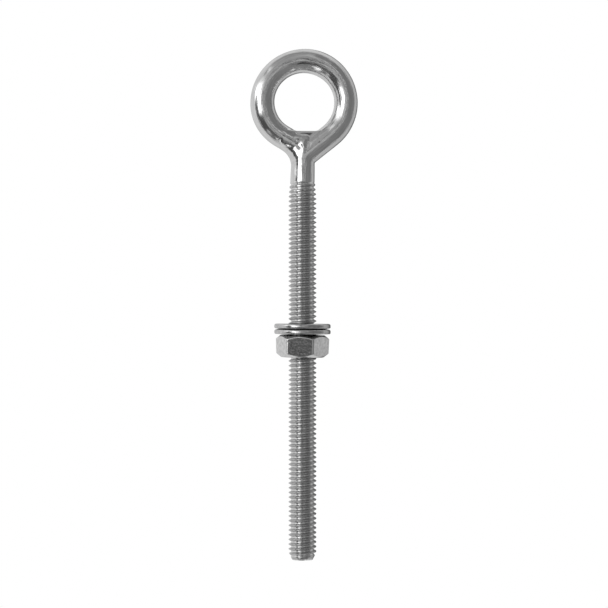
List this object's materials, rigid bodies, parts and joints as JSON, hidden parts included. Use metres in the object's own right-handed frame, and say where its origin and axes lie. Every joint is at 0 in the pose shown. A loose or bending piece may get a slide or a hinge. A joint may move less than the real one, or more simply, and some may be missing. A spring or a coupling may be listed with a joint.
{
  "type": "eye bolt",
  "caption": "Polished stainless eye bolt bent and welded from round bar, with a long metric thread, a hexagon nut and flat washers.",
  "frame": {"origin": "centre of the thread's flat end face", "axes": "+Z along the thread's axis, up to the eye; +X across the eye, towards the side that the neck leans to; +Y through the eye's hole"},
  "size_m": [0.0228, 0.012, 0.1086],
  "materials": {
    "polished_bar": "polished stainless steel",
    "weld_metal": "polished over an uneven weld bead",
    "nut_steel": "bright, cold formed, with faint tool marks",
    "washer_steel": "bright, stamped and tumbled"
  },
  "bodies": {
    "bolt": {"eye_bolt": "polished_bar", "eye_weld": "weld_metal"},
    "lower_washer": {"washer_lower": "washer_steel"},
    "nut": {"hex_nut": "nut_steel"},
    "upper_washer": {"washer_upper": "washer_steel"}
  },
  "joints": [
    {"name": "nut_travel", "type": "slide", "parent": "bolt", "child": "lower_washer", "axis": [0, 0, 1], "range_m": [-0.043, 0.031]},
    {"name": "nut_turn", "type": "hinge", "parent": "lower_washer", "child": "nut", "pos_m": [0, 0, 0.0454], "axis": [0, 0, 1], "range_deg": [-15480, 11160]},
    {"name": "washer_lift", "type": "slide", "parent": "lower_washer", "child": "upper_washer", "axis": [0, 0, 1], "range_m": [0, 0.0035]}
  ],
  "couplings": [
    {"joint": "nut_turn", "follows": "nut_travel", "rad_per_m": 6283.2}
  ]
}
